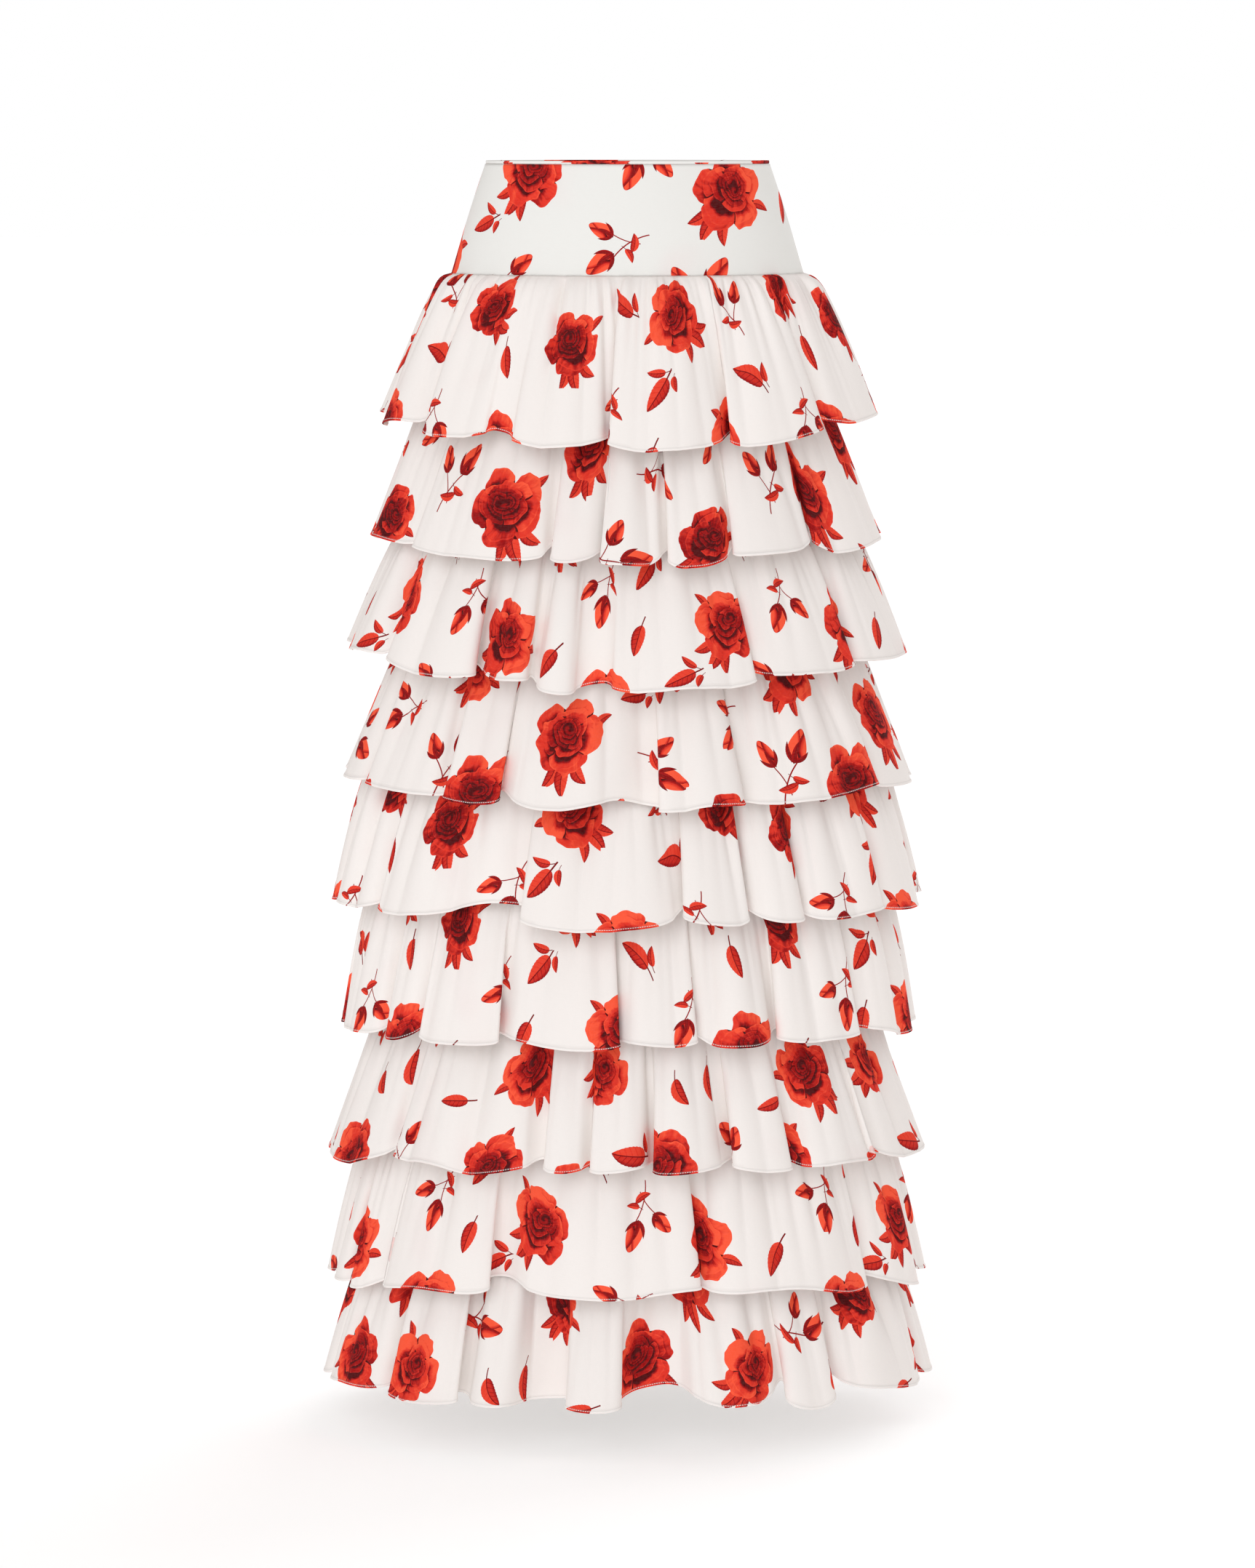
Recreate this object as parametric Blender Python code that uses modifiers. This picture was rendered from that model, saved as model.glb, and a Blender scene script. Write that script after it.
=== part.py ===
"""A ruffled maxi skirt, filled out as if worn: a fitted yoke, and nine gathered ruffles on a plain foundation.

Metres, +Z up. The origin is the centre of the waist opening, and the front faces -Y. Angles go round
the skirt in degrees from the middle of the front, positive towards +X.
"""

import bmesh
import bpy
import numpy as np

# Walls and gaps
CLOTH_WALL = 0.001
YOKE_WALL = 0.0015
EDGE_WALL = 0.0024
EDGE_HEIGHT = 0.003
SEAM_GAP = 0.0003
FACET_ROOM = 0.0007

# The body line: the yoke down to YOKE_BOTTOM and the foundation below it, as ellipses.
YOKE_BOTTOM = -0.102
BASE_BOTTOM = -1.045
BODY_LINE = (
    # height, half width, half depth
    (0.000, 0.127, 0.095),
    (-0.050, 0.1435, 0.1045),
    (-0.102, 0.159, 0.112),
    (-0.210, 0.165, 0.120),
    (-0.320, 0.178, 0.130),
    (-0.430, 0.190, 0.140),
    (-0.530, 0.205, 0.150),
    (-0.640, 0.210, 0.155),
    (-0.740, 0.212, 0.158),
    (-0.850, 0.218, 0.162),
    (-0.960, 0.222, 0.166),
    (-1.045, 0.225, 0.169),
)

# Each ruffle's hem: how low it hangs in front and at the sides, how far it stands out, and how
# quickly it leaves the seam at the sides (a smaller shoulder is a rounder one).
RUFFLES = (
    # front hem, side hem, half width, half depth, side shoulder
    (-0.252, -0.233, 0.228, 0.190, 0.74),
    (-0.352, -0.342, 0.234, 0.198, 0.87),
    (-0.464, -0.442, 0.257, 0.212, 0.72),
    (-0.570, -0.560, 0.261, 0.216, 0.90),
    (-0.672, -0.673, 0.270, 0.224, 0.52),
    (-0.780, -0.786, 0.264, 0.222, 0.48),
    (-0.886, -0.903, 0.276, 0.230, 0.98),
    (-0.999, -1.016, 0.274, 0.230, 0.66),
    (-1.104, -1.109, 0.280, 0.235, 0.66),
)
RUFFLE_LAP = 0.040
FRONT_SHOULDER = 0.80
VALLEY_LIFT = 0.20
LIFT_SWING = 0.34
LIFT_TURNS = 11
LIFT_SEED = 40

# The folds that show from the front, at each hem.
FRONT_FOLDS = (
    # left edge, right edge in degrees, then for the valley after it: its depth as a share of the room
    # behind, and how many degrees it leans
    (
        (-88, -60, 0.40, 6), (-57, -35, 0.28, 0), (-27, -9, 0.50, 6), (-7, 20, 0.50, 6),
        (22, 56, 0.55, -6), (58, 87, 0.40, -4),
    ),
    (
        (-87, -63, 0.40, 6), (-60, -20, 0.45, 2), (-18, -10, 0.35, 4), (-8, 6, 0.50, 3),
        (8, 20, 0.45, 5), (22, 45, 0.55, 4), (47, 86, 0.40, -4),
    ),
    (
        (-88, -63, 0.40, 3), (-61, -31, 0.50, -6), (-28, -20, 0.40, -2), (-18, -11, 0.50, 0),
        (-3, 30, 0.45, -7), (32, 57, 0.50, -6), (59, 88, 0.40, -4),
    ),
    (
        (-88, -71, 0.30, 5), (-68, -45, 0.35, 6), (-42, -25, 0.45, -4), (-22, -8, 0.50, 6),
        (4, 27, 0.55, -6), (30, 64, 0.35, -6), (66, 87, 0.30, -4),
    ),
    (
        (-84, -64, 0.40, 5), (-61, -39, 0.50, 6), (-24, 7, 0.50, 5), (9, 26, 0.50, -4),
        (28, 38, 0.45, -3), (40, 62, 0.45, -6), (64, 86, 0.40, -4),
    ),
    (
        (-84, -61, 0.40, 2), (-58, -50, 0.40, 3), (-48, -24, 0.50, -6), (-21, 1, 0.50, -6),
        (3, 15, 0.45, -3), (17, 28, 0.50, 4), (30, 56, 0.25, -6), (61, 84, 0.40, -4),
    ),
    (
        (-83, -56, 0.40, 4), (-53, -21, 0.50, 2), (-17, -10, 0.45, 2), (-8, 1, 0.55, 4),
        (3, 17, 0.50, 4), (19, 35, 0.50, -5), (37, 58, 0.25, -5), (62, 84, 0.40, -4),
    ),
    (
        (-81, -71, 0.40, 2), (-69, -62, 0.40, 6), (-59, -25, 0.55, -6), (-17, 17, 0.50, -6),
        (19, 57, 0.45, -6), (61, 83, 0.40, -4),
    ),
    (
        (-81, -57, 0.55, 5), (-54, -32, 0.45, -5), (-29, -23, 0.85, 3), (-13, 0, 0.85, -3),
        (14, 27, 0.50, 4), (30, 45, 0.70, -4), (48, 80, 0.60, -4),
    ),
)

# The folds round the back follow a rule.
BACK_FOLD_SPAN = 25.0
BACK_SPAN_SPREAD = (0.70, 1.30)
BACK_GAP = (2.0, 7.0)
BACK_DEPTH = (0.30, 0.50)
BACK_LEAN = (3.0, 6.0)
BACK_SEED = 21

# How finely the walls are cut
WIDE_FOLD = 23.0
WIDE_STEPS = (0.48, 0.87, 1.0)
NARROW_STEPS = (0.80, 1.0)
WIDE_VALLEY = 7.0
VALLEY_STEP = 0.60
RUFFLE_ROWS = (0.0, 0.14, 0.50, 1.0)
SMOOTHED_SHARE = 0.12
FOLD_HOLD = 0.55
PANEL_COLUMNS = 20
EDGE_COLUMNS = 64

CREAM = (0.86, 0.84, 0.81, 1.0)
IVORY = (0.80, 0.78, 0.74, 1.0)
PLAIN = (0.74, 0.72, 0.69, 1.0)


def body_axes(height):
    """Half width and half depth of the body line at a height."""
    table = np.array(BODY_LINE)[::-1]
    return np.interp(height, table[:, 0], table[:, 1]), np.interp(height, table[:, 0], table[:, 2])


def around(angle, half_width, half_depth, inset=0.0):
    """Points on an ellipse at angles from the front, moved in along its normal by inset."""
    turn = np.radians(angle)
    out_x, out_y = np.sin(turn) / half_width, -np.cos(turn) / half_depth
    length = np.hypot(out_x, out_y)
    x = half_width * np.sin(turn) - inset * out_x / length
    y = -half_depth * np.cos(turn) - inset * out_y / length
    return x, y


def tilted(front, side, angle):
    """A height that goes from front at the middle to side at 90 degrees."""
    return front + (side - front) * np.sin(np.radians(angle)) ** 2


def all_folds(number):
    """The folds all round one hem: those in front, then those of the back by the seeded rule."""
    front = list(FRONT_FOLDS[number - 1])
    rng = np.random.default_rng(BACK_SEED + number)
    start, end = front[-1][1], front[0][0] + 360
    count = round((end - start) / BACK_FOLD_SPAN)
    spans = rng.uniform(*BACK_SPAN_SPREAD, count)
    spans *= (end - start) / spans.sum()
    back = []
    for span in spans:
        gap = rng.uniform(*BACK_GAP)
        back.append((start + gap / 2, start + span - gap / 2, rng.uniform(*BACK_DEPTH)))
        start += span
    leans = rng.uniform(*BACK_LEAN, count) * rng.choice((-1, 1), count)
    return front + [(*fold, lean) for fold, lean in zip(back, leans)]


def wandering(share, waves, rng):
    """A smooth closed run of values from -1 to 1, with so many turning points all round."""
    heights = rng.uniform(-1.0, 1.0, waves)
    place = share * waves
    near = np.floor(place).astype(int) % waves
    blend = (1 - np.cos(np.pi * (place % 1.0))) / 2
    return heights[near] + (heights[(near + 1) % waves] - heights[near]) * blend


def valley_lift(number, angle):
    """How far a valley's hem rises for how far in it lies, which wanders round the skirt."""
    rng = np.random.default_rng(LIFT_SEED + number)
    return VALLEY_LIFT + LIFT_SWING * wandering((angle + 180) / 360 % 1.0, LIFT_TURNS, rng)


def turned_in(share):
    """How far in a fold has turned at a share of the way from its crest to its edge."""
    return (1 - np.sqrt(1 - share**2.5)) / 2


def hem_outline(number):
    """The hem's columns: the angle of each, and how far in it lies as a share of the room.

    From its crest a fold turns to its edge, goes back, and turns again into a valley that leans aside.
    """
    folds = all_folds(number)
    angles, insets = [], []
    for place, (left, right, depth, lean) in enumerate(folds):
        edge_before = folds[place - 1][1] - (360 if place == 0 else 0)
        depth_before, lean_before = folds[place - 1][2:]
        middle, half = (left + right) / 2, (right - left) / 2
        steps = np.array(WIDE_STEPS if right - left > WIDE_FOLD else NARROW_STEPS)
        is_wide = left - edge_before > WIDE_VALLEY
        valley = np.array([-VALLEY_STEP, 0.0, VALLEY_STEP] if is_wide else [0.0])
        valley_in = 1 - turned_in(abs(valley))
        left_in, right_in = turned_in(steps[::-1]), turned_in(steps)
        angles += [*((edge_before + left + valley * (left - edge_before)) / 2 + lean_before * valley_in)]
        insets += [*(depth_before * valley_in)]
        angles += [*(middle - half * steps[::-1] + lean_before * left_in), middle]
        angles += [*(middle + half * steps + lean * right_in)]
        insets += [*(depth_before * left_in), 0.0, *(depth * right_in)]
    return np.array(angles), np.array(insets)


def seam_angles(number, hem_angles, insets):
    """Where each column meets the seam: the gathers spread the hem's cloth evenly along it."""
    width, depth = RUFFLES[number - 1][2:4]
    room = width - body_axes(RUFFLES[number - 1][0])[0]
    x, y = around(hem_angles, width, depth, insets * room)
    steps = np.hypot(np.diff(x, append=x[0]), np.diff(y, append=y[0]))
    cloth = np.concatenate([[0.0], np.cumsum(steps)])
    share = cloth[:-1] / cloth[-1]
    tiled_share = np.concatenate([share - 1, share, share + 1])
    tiled_angle = np.concatenate([hem_angles - 360, hem_angles, hem_angles + 360])
    offsets = np.linspace(-SMOOTHED_SHARE / 2, SMOOTHED_SHARE / 2, 41)
    return np.mean([np.interp(share + off, tiled_share, tiled_angle) for off in offsets], axis=0)


def ruffle_rows(number):
    """Rings of points down one ruffle, from its seam to its hem."""
    front_hem, side_hem, width, depth, side_shoulder = RUFFLES[number - 1]
    hem_angle, inset = hem_outline(number)
    seam_angle = seam_angles(number, hem_angle, inset)
    rows = []
    for down in RUFFLE_ROWS:
        angle = seam_angle + (hem_angle - seam_angle) * down**FOLD_HOLD
        hem = tilted(front_hem, side_hem, angle)
        if number == 1:
            seam = np.full_like(angle, YOKE_BOTTOM - 2 * SEAM_GAP)
        else:
            above = RUFFLES[number - 2]
            seam = tilted(above[0], above[1], angle) + RUFFLE_LAP
        shoulder = tilted(FRONT_SHOULDER, side_shoulder, angle)
        seam_width, seam_depth = body_axes(seam)
        stand_off = CLOTH_WALL + SEAM_GAP + FACET_ROOM
        out = down**shoulder
        room = width - body_axes(hem)[0]
        sunk = inset * room * down**0.8
        x, y = around(
            angle,
            seam_width + stand_off + (width - seam_width - stand_off) * out,
            seam_depth + stand_off + (depth - seam_depth - stand_off) * out,
            sunk,
        )
        z = seam + (hem - seam) * down + valley_lift(number, hem_angle) * sunk
        rows.append(np.stack([x, y, z], axis=1))
    return rows


def material(name, colour, roughness):
    """A plain cloth colour."""
    made = bpy.data.materials.new(name)
    made.use_nodes = True
    surface = made.node_tree.nodes["Principled BSDF"]
    surface.inputs["Base Color"].default_value = colour
    surface.inputs["Roughness"].default_value = roughness
    surface.inputs["Metallic"].default_value = 0.0
    return made


def cloth_piece(name, rows, wall, finish, collection, closed):
    """One cloth wall: a sheet lofted through rows of points, given its thickness both ways."""
    mesh = bpy.data.meshes.new(name)
    bm = bmesh.new()
    rings = [[bm.verts.new(point) for point in row] for row in rows]
    for upper, lower in zip(rings, rings[1:]):
        count = len(upper)
        for near in range(count if closed else count - 1):
            far = (near + 1) % count
            bm.faces.new((upper[near], lower[near], lower[far], upper[far]))
    bm.to_mesh(mesh)
    bm.free()
    mesh.shade_smooth()
    mesh.materials.append(finish)
    piece = bpy.data.objects.new(name, mesh)
    collection.objects.link(piece)
    thicken = piece.modifiers.new("wall", "SOLIDIFY")
    thicken.thickness = wall
    thicken.offset = 0.0
    return piece


def body_panel(name, top, bottom, back, wall, finish, collection):
    """One panel of the body line between two heights, from side seam to side seam."""
    reach = 90 - np.degrees(SEAM_GAP / 2 / BODY_LINE[0][2])
    angle = np.linspace(-reach, reach, PANEL_COLUMNS + 1) + (180 if back else 0)
    between = [row[0] for row in BODY_LINE if bottom < row[0] < top]
    rows = []
    for height in [top, *between, bottom]:
        x, y = around(angle, *body_axes(height))
        rows.append(np.stack([x, y, np.full_like(x, height)], axis=1))
    return cloth_piece(name, rows, wall, finish, collection, closed=False)


def waist_edge(finish, collection):
    """The narrow bound edge that finishes the waist."""
    angle = np.linspace(0, 360, EDGE_COLUMNS, endpoint=False)
    rows = []
    for height in (0.0, -EDGE_HEIGHT):
        x, y = around(angle, *body_axes(0.0))
        rows.append(np.stack([x, y, np.full_like(x, height)], axis=1))
    return cloth_piece("waist_edge", rows, EDGE_WALL, finish, collection, closed=True)


def build():
    """Clear the scene and make every piece of the skirt."""
    for thing in list(bpy.data.objects):
        bpy.data.objects.remove(thing)
    skirt = bpy.data.collections.new("ruffled_maxi_skirt")
    bpy.context.scene.collection.children.link(skirt)
    yoke_cloth = material("yoke_cloth", IVORY, 0.8)
    ruffle_cloth = material("ruffle_cloth", CREAM, 0.75)
    base_cloth = material("base_cloth", PLAIN, 0.85)

    waist_edge(yoke_cloth, skirt)
    yoke_top = -EDGE_HEIGHT - SEAM_GAP
    base_top = YOKE_BOTTOM - SEAM_GAP
    for side, back in (("front", False), ("back", True)):
        body_panel("yoke_" + side, yoke_top, YOKE_BOTTOM, back, YOKE_WALL, yoke_cloth, skirt)
        body_panel("base_" + side, base_top, BASE_BOTTOM, back, CLOTH_WALL, base_cloth, skirt)
    for number in range(1, len(RUFFLES) + 1):
        cloth_piece(
            f"ruffle_{number}", ruffle_rows(number), CLOTH_WALL, ruffle_cloth, skirt, closed=True
        )


build()
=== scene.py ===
"""The looks of a ruffled maxi skirt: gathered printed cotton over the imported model's frame.

Metres, +Z up. The origin is the centre of the waist opening, and the front faces -Y. Angles go round
the skirt in degrees from the middle of the front, positive towards +X.
"""

import bpy
import numpy as np
from bpy.props import FloatProperty, FloatVectorProperty, IntProperty, PointerProperty
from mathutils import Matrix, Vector


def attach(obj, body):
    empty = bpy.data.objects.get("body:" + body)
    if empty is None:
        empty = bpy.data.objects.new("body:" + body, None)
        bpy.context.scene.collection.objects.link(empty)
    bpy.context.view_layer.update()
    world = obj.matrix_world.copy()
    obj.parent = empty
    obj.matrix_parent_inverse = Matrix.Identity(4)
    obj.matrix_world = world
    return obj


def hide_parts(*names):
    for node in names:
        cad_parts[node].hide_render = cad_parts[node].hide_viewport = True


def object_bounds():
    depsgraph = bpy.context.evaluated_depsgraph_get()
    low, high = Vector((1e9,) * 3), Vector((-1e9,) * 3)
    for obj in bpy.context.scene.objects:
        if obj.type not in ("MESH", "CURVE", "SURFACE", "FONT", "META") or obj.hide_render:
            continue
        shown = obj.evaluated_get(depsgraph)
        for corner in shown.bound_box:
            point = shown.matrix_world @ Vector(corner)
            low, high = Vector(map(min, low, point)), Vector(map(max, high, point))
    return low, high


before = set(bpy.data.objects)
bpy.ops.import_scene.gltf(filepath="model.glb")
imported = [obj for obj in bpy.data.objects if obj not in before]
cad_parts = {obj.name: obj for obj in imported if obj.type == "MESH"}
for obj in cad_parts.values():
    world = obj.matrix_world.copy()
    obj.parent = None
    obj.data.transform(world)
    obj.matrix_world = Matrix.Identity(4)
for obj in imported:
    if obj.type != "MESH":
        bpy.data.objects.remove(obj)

bl_info = {
    "name": "Ruffled Maxi Skirt",
    "version": (1, 0, 0),
    "blender": (4, 5, 0),
    "location": "3D View > Sidebar > Skirt",
    "description": "A printed cotton maxi skirt of nine gathered ruffles on a fitted yoke",
    "category": "Object",
}

CAD_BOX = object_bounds()
BODY = "root"

# The cut, as in the part's own source
CLOTH_WALL = 0.001
EDGE_WALL = 0.0024
EDGE_HEIGHT = 0.003
SEAM_GAP = 0.0003
FACET_ROOM = 0.0007
YOKE_BOTTOM = -0.102
BASE_BOTTOM = -1.045
BODY_LINE = (
    # height, half width, half depth
    (0.000, 0.127, 0.095),
    (-0.050, 0.1435, 0.1045),
    (-0.102, 0.159, 0.112),
    (-0.210, 0.165, 0.120),
    (-0.320, 0.178, 0.130),
    (-0.430, 0.190, 0.140),
    (-0.530, 0.205, 0.150),
    (-0.640, 0.210, 0.155),
    (-0.740, 0.212, 0.158),
    (-0.850, 0.218, 0.162),
    (-0.960, 0.222, 0.166),
    (-1.045, 0.225, 0.169),
)
RUFFLES = (
    # front hem, side hem, half width, half depth, side shoulder
    (-0.252, -0.233, 0.228, 0.190, 0.74),
    (-0.352, -0.342, 0.234, 0.198, 0.87),
    (-0.464, -0.442, 0.257, 0.212, 0.72),
    (-0.570, -0.560, 0.261, 0.216, 0.90),
    (-0.672, -0.673, 0.270, 0.224, 0.52),
    (-0.780, -0.786, 0.264, 0.222, 0.48),
    (-0.886, -0.903, 0.276, 0.230, 0.98),
    (-0.999, -1.016, 0.274, 0.230, 0.66),
    (-1.104, -1.109, 0.280, 0.235, 0.66),
)
RUFFLE_LAP = 0.040
FRONT_SHOULDER = 0.80
VALLEY_LIFT = 0.20
LIFT_SWING = 0.34
LIFT_TURNS = 11
LIFT_SEED = 40
FRONT_FOLDS = (
    # left edge, right edge in degrees, then for the valley after it: its depth as a share of the room
    # behind, and how many degrees it leans
    (
        (-88, -60, 0.40, 6), (-57, -35, 0.28, 0), (-27, -9, 0.50, 6), (-7, 20, 0.50, 6),
        (22, 56, 0.55, -6), (58, 87, 0.40, -4),
    ),
    (
        (-87, -63, 0.40, 6), (-60, -20, 0.45, 2), (-18, -10, 0.35, 4), (-8, 6, 0.50, 3),
        (8, 20, 0.45, 5), (22, 45, 0.55, 4), (47, 86, 0.40, -4),
    ),
    (
        (-88, -63, 0.40, 3), (-61, -31, 0.50, -6), (-28, -20, 0.40, -2), (-18, -11, 0.50, 0),
        (-3, 30, 0.45, -7), (32, 57, 0.50, -6), (59, 88, 0.40, -4),
    ),
    (
        (-88, -71, 0.30, 5), (-68, -45, 0.35, 6), (-42, -25, 0.45, -4), (-22, -8, 0.50, 6),
        (4, 27, 0.55, -6), (30, 64, 0.35, -6), (66, 87, 0.30, -4),
    ),
    (
        (-84, -64, 0.40, 5), (-61, -39, 0.50, 6), (-24, 7, 0.50, 5), (9, 26, 0.50, -4),
        (28, 38, 0.45, -3), (40, 62, 0.45, -6), (64, 86, 0.40, -4),
    ),
    (
        (-84, -61, 0.40, 2), (-58, -50, 0.40, 3), (-48, -24, 0.50, -6), (-21, 1, 0.50, -6),
        (3, 15, 0.45, -3), (17, 28, 0.50, 4), (30, 56, 0.25, -6), (61, 84, 0.40, -4),
    ),
    (
        (-83, -56, 0.40, 4), (-53, -21, 0.50, 2), (-17, -10, 0.45, 2), (-8, 1, 0.55, 4),
        (3, 17, 0.50, 4), (19, 35, 0.50, -5), (37, 58, 0.25, -5), (62, 84, 0.40, -4),
    ),
    (
        (-81, -71, 0.40, 2), (-69, -62, 0.40, 6), (-59, -25, 0.55, -6), (-17, 17, 0.50, -6),
        (19, 57, 0.45, -6), (61, 83, 0.40, -4),
    ),
    (
        (-81, -57, 0.55, 5), (-54, -32, 0.45, -5), (-29, -23, 0.85, 3), (-13, 0, 0.85, -3),
        (14, 27, 0.50, 4), (30, 45, 0.70, -4), (48, 80, 0.60, -4),
    ),
)
BACK_FOLD_SPAN = 25.0
BACK_SPAN_SPREAD = (0.70, 1.30)
BACK_GAP = (2.0, 7.0)
BACK_DEPTH = (0.30, 0.50)
BACK_LEAN = (3.0, 6.0)
BACK_SEED = 21
SMOOTHED_SHARE = 0.12
FOLD_HOLD = 0.55
FOLD_ROUNDING = 0.8
VALLEY_RUN = 0.8

# How the cloth is laid out as a mesh
QUARTER_STEPS = 24
HEM_ROWS = (0.0, 0.0011, 0.0024, 0.0032, 0.0050)
RUFFLE_ROWS = 25
ROW_CROWDING = 1.4
YOKE_COLUMNS = 120
YOKE_ROWS = 40
BASE_COLUMNS = 72
BASE_ROWS = 60
EDGE_COLUMNS = 360
EDGE_SIDES = 16

# The plainer pieces
PANELS = (
    # side, turn in degrees, where the yoke's panel lies on the print
    ("front", 0, (0.06, 0.115)),
    ("back", 180, (0.33, 0.02)),
)
YOKE_WALL = 0.0011
YOKE_RISE = 0.01
PUCKERS = 58
PUCKER_DEPTH = 0.00032
PUCKER_HEIGHT = 0.008
DRAPES = 9
DRAPE_DEPTH = 0.00035
BASE_WALL = 0.0005
BASE_INSET = 0.0005
BASE_HEM = 0.008
BASE_SEED = 55
RIPPLES = 24
RIPPLE_DEPTH = 0.0004
EDGE_ROUNDING = 0.6
EDGE_PRINT = (0.11, 0.20)
NO_HEM = -1.0
HEM_REACH = 1.1

# The gathers that the seam holds. The small ones run out on the way down
GATHERS = (
    # cloth to each, height, how far down it runs as a share, the least it keeps
    (0.011, 0.0021, 0.13, 0.00),
    (0.021, 0.0030, 0.26, 0.00),
    (0.040, 0.0048, 0.66, 0.10),
    (0.078, 0.0066, 1.10, 0.40),
)
GATHER_SWAY = 1.5
GATHER_UNEVEN = 0.30
GATHER_STRAY = 0.45
CREASE_SPACING = 0.042
CREASE_STRAY = 0.45
CREASE_DEPTH = (0.0015, 0.0058)
CREASE_WIDTH = (0.008, 0.019)
CREASE_OPENING = 0.60
CREASE_ROUNDING = 1.4
CREASE_RUN = (0.30, 1.70)
CREASE_DRIFT = 0.010
GATHER_SEED = 5
SIDE_PUSH = 0.30
SEAM_HOLD = 0.005
SEAM_ROOM = 0.0010
TUCK_GAP = 0.0002
TUCK_HEIGHT = 0.0025
TUCKED_IN = 0.0004
WAVER_PITCH = 0.070
WAVER_RUN = 4

# The sewing and the weave
STITCH_PITCH = 0.0021
STITCH_WIDTH = 0.0005
STITCH_PLACE = 0.70
STITCH_COVER = 0.85
# A line of painted shade along the top fold of a rolled hem: how wide it is, how strong and how grey
FOLD_LINE = 0.0006
FOLD_SHADE = 0.16
FOLD_SHADE_GREY = (0.40, 0.37, 0.36, 1.0)
SLUB_STRETCH = 0.22
SLUB_SCALE = 900.0
SLUB_GREY = (0.62, 0.60, 0.58, 1.0)
SLUB_SHADE = 0.05
# At most how much painted light of the print beneath seems to shine through the cloth
SHOW_THROUGH_LIGHT = 0.42
COTTON = {"Sheen Weight": 0.01, "Sheen Roughness": 0.40, "Specular IOR Level": 0.03}
ROUGHNESS = (0.72, 0.86)
RELIEF = 0.35
RELIEF_DEPTH = 0.0002

# The print: how many of each motif one repeat holds
MOTIFS = (
    # kind, how many, size as a share of the rose's, reach in its own size, turn spread in degrees
    ("rose", 10, 1.00, 1.42, 60),
    ("bud", 7, 1.06, 1.05, 180),
    ("leaf", 10, 0.47, 1.60, 180),
)
KINDS = ("plain", "rose", "bud", "leaf")
SIZE_SPREAD = (0.84, 1.12)
CANDIDATES = 60
STRIP_SEED = 4

# The rose's rings of petals, the outermost first
PETAL_RINGS = (
    # radius, petals, turn, centre x, centre y, scallop, stretch, brightness, side shade
    (1.00, 5, 0.10, 0.00, 0.00, 0.22, 1.00, 0.98, 0.34),
    (0.82, 4, 0.62, 0.04, -0.04, 0.20, 0.98, 1.04, 0.36),
    (0.62, 3, 0.25, -0.03, 0.08, 0.18, 0.92, 0.74, 0.44),
    (0.47, 3, 0.80, 0.02, 0.13, 0.16, 0.88, 0.50, 0.40),
    (0.34, 3, 0.40, 0.00, 0.16, 0.14, 0.84, 0.46, 0.36),
    (0.23, 2, 0.95, -0.01, 0.17, 0.12, 0.82, 0.42, 0.30),
)
HEART = (0.0, 0.16, 0.14, 0.82)
ROSE_LEAVES = (
    # x, y, turn, size, width, bend
    (-0.30, -1.02, 250, 0.36, 0.42, 0.20),
    (0.10, -1.10, 275, 0.42, 0.40, -0.15),
    (0.50, -0.92, 305, 0.34, 0.42, -0.20),
    (0.98, 0.30, 20, 0.30, 0.40, 0.20),
)
BUD_STEMS = (
    # x, y, turn, size, bend
    (0.10, -0.42, 62, 0.58, 0.20),
    (-0.18, -0.28, 118, 0.46, -0.16),
)
BUD_LEAVES = (
    # x, y, turn, size, width, bend
    (-0.02, -0.50, 190, 0.24, 0.42, 0.20),
    (0.32, -0.36, -20, 0.20, 0.40, -0.20),
)
BUD_HEADS = (
    # x, y, turn, size
    (0.44, 0.42, 58, 0.42),
    (-0.42, 0.30, 122, 0.34),
)
SEPALS = (
    # x, y, turn, size, width, bend
    (-0.55, 0.30, 38, 0.62, 0.20, 0.25),
    (-0.55, -0.30, -38, 0.62, 0.20, -0.25),
    (-0.45, 0.00, 4, 0.62, 0.24, 0.10),
)
LEAF_SPRIG = (
    # x, y, turn, size, width, bend, and the least seed, from 0 to 10, that shows it
    (-0.94, 0.71, 60, 0.55, 0.40, -0.15, 4.0),
    (-1.02, -0.58, -42, 0.42, 0.46, 0.20, 7.0),
)

# How the motifs are painted: tones go from 0, the deepest ink, to 1, the brightest
PETAL_FADE = (0.62, 0.86)
PETAL_SHADOW = 0.16
PETAL_LIGHT = 0.72
RIM_START = 0.955
RIM_LIGHT = 0.10
SPLIT_WIDTH = 0.045
SPLIT_TONE = 0.06
ROSE_SWELL = 0.55
ROSE_SIDE = 0.17
ROSE_SPREAD = 0.34
STEM_WIDTH = 0.030
STEM_TONE = 0.28
LEAF_TEETH = 5.0
TOOTH_DEPTH = 0.06
LEAF_VEINS = 3.2
VEIN_SLANT = 2.2
VEIN_SHADE = 0.16
RIB_WIDTH = 0.03
RIB_TONE = 0.20
STALK_WIDTH = 0.045
STALK_LENGTH = 0.6
MOTIF_SOCKETS = {"Place": "Vector", "Seed": "Float"}
MASK_AND_TONE = {"Mask": "Float", "Tone": "Float"}

# The stage
FLOOR_SIDES = 96
FLOOR_RADIUS = 60.0
PAPER = {
    "Base Color": (0.90, 0.90, 0.90, 1.0),
    "Emission Color": (1.0, 1.0, 1.0, 1.0),
    "Roughness": 0.9,
    "Specular IOR Level": 0.1,
}
LAMPS = (
    # name, which is also that of its strength, and where it stands
    ("key", (-1.1, -3.9, 1.1)),
    ("back", (2.2, 3.4, 1.8)),
)
SENSOR_WIDTH = 36.0
VIEW_END = 200.0


# What a user would change


def a_number(name, description, default, **kind):
    """A number among the settings."""
    return FloatProperty(name=name, description=description, default=default, **kind)


def a_length(name, description, default):
    """A length among the settings."""
    return a_number(name, description, default, unit="LENGTH", precision=5)


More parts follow.
